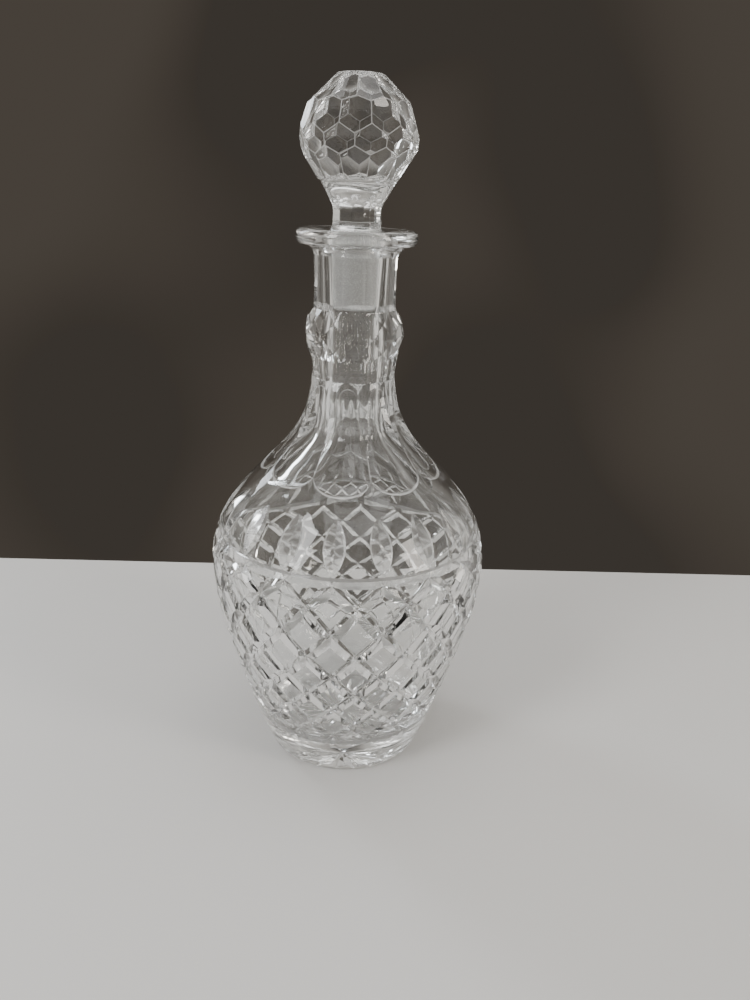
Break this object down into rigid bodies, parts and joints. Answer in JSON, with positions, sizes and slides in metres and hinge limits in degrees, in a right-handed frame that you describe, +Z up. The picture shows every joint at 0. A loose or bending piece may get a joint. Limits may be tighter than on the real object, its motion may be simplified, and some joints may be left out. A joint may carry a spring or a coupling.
{
  "type": "wine decanter",
  "caption": "Cut-glass wine decanter with a diamond-cut belly, fluted shoulder and neck, and a faceted ball stopper that lifts out of the neck.",
  "frame": {"origin": "middle of the foot's contact ring, on the surface it stands on", "axes": "+Z up along the decanter's axis, -Y towards the viewer, +X to the viewer's right"},
  "size_m": [0.1318, 0.132, 0.31],
  "materials": {
    "bottle_glass": "clear polished cut lead crystal",
    "stopper_glass": "clear polished cut lead crystal, ground on the plug"
  },
  "bodies": {
    "bottle": {"bottle": "bottle_glass"},
    "stopper": {"stopper": "stopper_glass"}
  },
  "joints": [
    {"name": "stopper_lift", "type": "slide", "parent": "bottle", "child": "stopper", "axis": [0, 0, 1], "range_m": [0, 0.05]}
  ]
}
